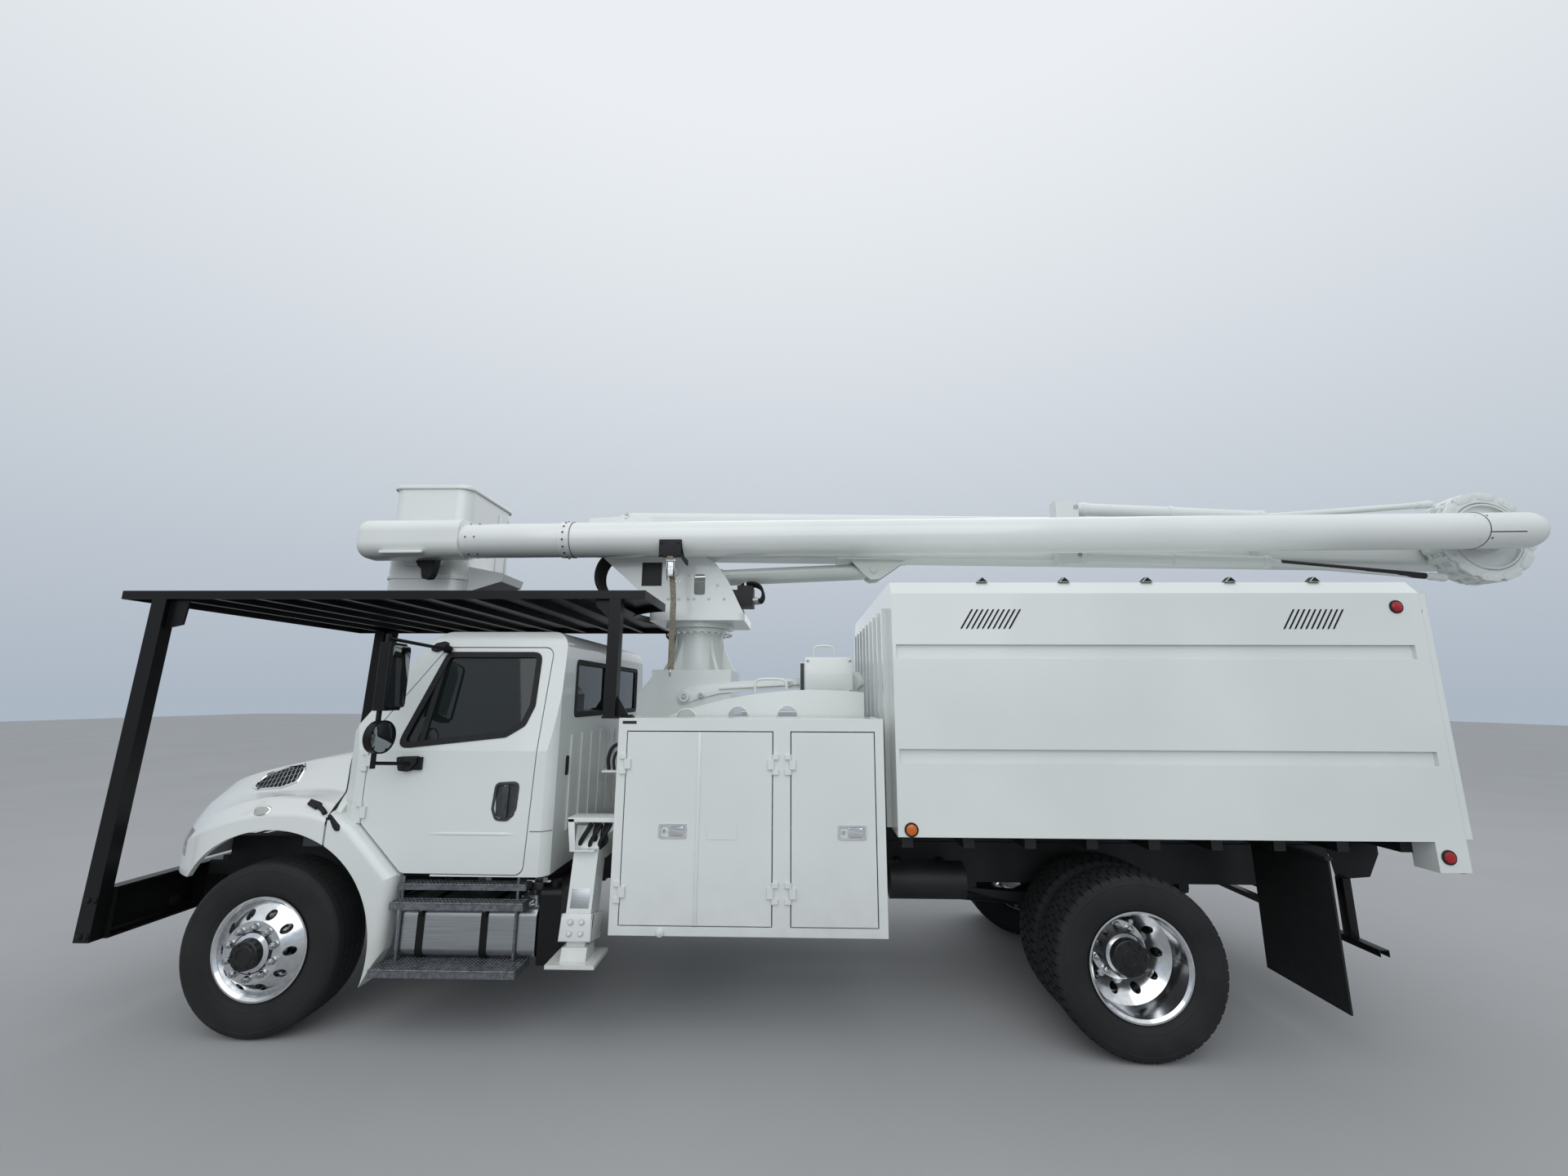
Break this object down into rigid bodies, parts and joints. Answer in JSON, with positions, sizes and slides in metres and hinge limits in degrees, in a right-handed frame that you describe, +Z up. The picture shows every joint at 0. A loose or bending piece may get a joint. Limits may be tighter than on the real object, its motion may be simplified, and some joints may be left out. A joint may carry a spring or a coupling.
{
  "type": "bucket truck",
  "caption": "Forestry bucket truck with a folding two-arm boom stowed over a closed chip box, cab head guard, tool lockers and outriggers.",
  "frame": {"origin": "on the ground, at the centre of the bounding box's footprint", "axes": "+X rearward along the truck, -Y driver's side, +Z up"},
  "size_m": [10.4949, 2.8292, 3.8097],
  "materials": {
    "white_paint": "gloss",
    "white_fibreglass": "gloss",
    "black_paint": "semi-gloss",
    "black_rubber": "matt",
    "polished_aluminium": "polished",
    "grey_aluminium": "satin",
    "glass": "clear",
    "chrome": "mirror",
    "lamp_plastic": "clear",
    "dark_steel": "matt",
    "grey_plastic": "matt",
    "seat_cloth": "matt"
  },
  "bodies": {
    "chassis": {"chassis_frame": "dark_steel", "engine_block": "dark_steel", "front_axle": "dark_steel", "rear_axle": "dark_steel", "exhaust": "dark_steel", "air_tanks": "dark_steel", "front_bumper": "black_paint", "cab_shell": "white_paint", "cab_glass": "glass", "cab_seats": "seat_cloth", "cab_dash": "grey_plastic", "head_guard": "black_paint", "fuel_tank": "grey_aluminium", "side_boxes": "black_paint", "cab_steps": "grey_aluminium", "outrigger_beam": "white_paint", "pedestal": "white_paint", "tool_rack": "white_paint", "locker_left": "white_paint", "locker_right": "white_paint", "chip_box": "white_paint", "box_sills": "dark_steel", "mudflaps": "black_rubber"},
    "hood": {"hood": "white_fibreglass", "grille": "chrome", "headlamps": "lamp_plastic"},
    "door_left": {"door_left": "white_paint", "door_glass_left": "glass", "mirror_left": "black_paint"},
    "door_right": {"door_right": "white_paint", "door_glass_right": "glass", "mirror_right": "black_paint"},
    "tailgate": {"tailgate": "white_paint"},
    "locker_door_left_front": {"locker_door_left_front": "white_paint"},
    "locker_door_left_middle": {"locker_door_left_middle": "white_paint"},
    "locker_door_left_rear": {"locker_door_left_rear": "white_paint"},
    "locker_door_right_front": {"locker_door_right_front": "white_paint"},
    "locker_door_right_rear": {"locker_door_right_rear": "white_paint"},
    "outrigger_leg_left": {"outrigger_leg_left": "white_paint"},
    "outrigger_leg_right": {"outrigger_leg_right": "white_paint"},
    "turntable": {"turntable": "white_paint"},
    "lower_boom": {"lower_boom": "white_paint", "level_gear": "white_paint"},
    "lift_barrel": {"lift_barrel": "white_paint"},
    "lift_rod": {"lift_rod": "chrome"},
    "elbow": {"elbow": "white_paint"},
    "upper_boom": {"upper_boom": "white_fibreglass", "boom_tip": "white_fibreglass"},
    "bucket": {"bucket": "white_fibreglass"},
    "knuckle_left": {"knuckle_left": "dark_steel"},
    "knuckle_right": {"knuckle_right": "dark_steel"},
    "front_wheel_left": {"front_wheel_left": "polished_aluminium", "front_tyre_left": "black_rubber"},
    "front_wheel_right": {"front_wheel_right": "polished_aluminium", "front_tyre_right": "black_rubber"},
    "rear_wheel_left": {"rear_wheel_left": "polished_aluminium", "rear_tyres_left": "black_rubber"},
    "rear_wheel_right": {"rear_wheel_right": "polished_aluminium", "rear_tyres_right": "black_rubber"}
  },
  "joints": [
    {"name": "hood_tilt", "type": "hinge", "parent": "chassis", "child": "hood", "pos_m": [-4.8525, 0, 0.852], "axis": [0, -1, 0], "range_deg": [0, 50]},
    {"name": "door_left_hinge", "type": "hinge", "parent": "chassis", "child": "door_left", "pos_m": [-3.4105, -1.093, 1.5], "axis": [0, 0, -1], "range_deg": [0, 70]},
    {"name": "door_right_hinge", "type": "hinge", "parent": "chassis", "child": "door_right", "pos_m": [-3.4105, 1.093, 1.5], "axis": [0, 0, 1], "range_deg": [0, 70]},
    {"name": "tailgate_hinge", "type": "hinge", "parent": "chassis", "child": "tailgate", "pos_m": [3.3619, 1.245, 1.95], "axis": [0, 0, 1], "range_deg": [0, 255]},
    {"name": "locker_left_front_hinge", "type": "hinge", "parent": "chassis", "child": "locker_door_left_front", "pos_m": [-1.6795, -1.227, 1.265], "axis": [0, 0, -1], "range_deg": [0, 95]},
    {"name": "locker_left_middle_hinge", "type": "hinge", "parent": "chassis", "child": "locker_door_left_middle", "pos_m": [-0.7595, -1.227, 1.265], "axis": [0, 0, 1], "range_deg": [0, 95]},
    {"name": "locker_left_rear_hinge", "type": "hinge", "parent": "chassis", "child": "locker_door_left_rear", "pos_m": [-0.6525, -1.227, 1.265], "axis": [0, 0, -1], "range_deg": [0, 95]},
    {"name": "locker_right_front_hinge", "type": "hinge", "parent": "chassis", "child": "locker_door_right_front", "pos_m": [-1.6795, 1.227, 1.265], "axis": [0, 0, 1], "range_deg": [0, 95]},
    {"name": "locker_right_rear_hinge", "type": "hinge", "parent": "chassis", "child": "locker_door_right_rear", "pos_m": [-0.8725, 1.227, 1.265], "axis": [0, 0, 1], "range_deg": [0, 95]},
    {"name": "outrigger_left_slide", "type": "slide", "parent": "chassis", "child": "outrigger_leg_left", "axis": [0, -0.2079, -0.9781], "range_m": [0, 0.49]},
    {"name": "outrigger_right_slide", "type": "slide", "parent": "chassis", "child": "outrigger_leg_right", "axis": [0, 0.2079, -0.9781], "range_m": [0, 0.49]},
    {"name": "turntable_spin", "type": "hinge", "parent": "chassis", "child": "turntable", "pos_m": [-1.4425, 0, 2.619], "axis": [0, 0, 1], "continuous": true},
    {"name": "lower_boom_lift", "type": "hinge", "parent": "turntable", "child": "lower_boom", "pos_m": [-2.0225, 0, 3.42], "axis": [0, -1, 0], "range_deg": [0, 100]},
    {"name": "elbow_link", "type": "hinge", "parent": "lower_boom", "child": "elbow", "pos_m": [4.8775, -0.26, 3.316], "axis": [0, -1, 0], "range_deg": [-100, 0]},
    {"name": "upper_boom_fold", "type": "hinge", "parent": "elbow", "child": "upper_boom", "pos_m": [4.8775, -0.51, 3.316], "axis": [0, 1, 0], "range_deg": [0, 190]},
    {"name": "bucket_level", "type": "hinge", "parent": "upper_boom", "child": "bucket", "pos_m": [-3.7225, 0, 3.24845], "axis": [0, 1, 0], "range_deg": [-190, 0]},
    {"name": "lift_barrel_pivot", "type": "hinge", "parent": "lower_boom", "child": "lift_barrel", "pos_m": [0.0375, 0, 3.111], "axis": [0, -1, 0], "range_deg": [-6, 6]},
    {"name": "lift_rod_slide", "type": "slide", "parent": "lift_barrel", "child": "lift_rod", "axis": [-0.9991, 0, -0.0427], "range_m": [0, 0.86]},
    {"name": "steer_left", "type": "hinge", "parent": "chassis", "child": "knuckle_left", "pos_m": [-3.9225, -0.83, 0.505], "axis": [0, 0, 1], "range_deg": [-38, 38]},
    {"name": "front_wheel_left_spin", "type": "hinge", "parent": "knuckle_left", "child": "front_wheel_left", "pos_m": [-3.9225, -0.996, 0.505], "axis": [0, 1, 0], "continuous": true},
    {"name": "rear_wheel_left_spin", "type": "hinge", "parent": "chassis", "child": "rear_wheel_left", "pos_m": [1.3875, -0.915, 0.505], "axis": [0, 1, 0], "continuous": true},
    {"name": "steer_right", "type": "hinge", "parent": "chassis", "child": "knuckle_right", "pos_m": [-3.9225, 0.83, 0.505], "axis": [0, 0, 1], "range_deg": [-38, 38]},
    {"name": "front_wheel_right_spin", "type": "hinge", "parent": "knuckle_right", "child": "front_wheel_right", "pos_m": [-3.9225, 0.996, 0.505], "axis": [0, 1, 0], "continuous": true},
    {"name": "rear_wheel_right_spin", "type": "hinge", "parent": "chassis", "child": "rear_wheel_right", "pos_m": [1.3875, 0.915, 0.505], "axis": [0, 1, 0], "continuous": true}
  ],
  "couplings": [
    {"joint": "steer_right", "follows": "steer_left", "ratio": 1},
    {"joint": "elbow_link", "follows": "lower_boom_lift", "ratio": -1},
    {"joint": "bucket_level", "follows": "upper_boom_fold", "ratio": -1},
    {"joint": "lift_rod_slide", "follows": "lower_boom_lift", "m_per_rad": 0.48257},
    {"joint": "lift_barrel_pivot", "follows": "lower_boom_lift", "ratio": -0.02016}
  ]
}
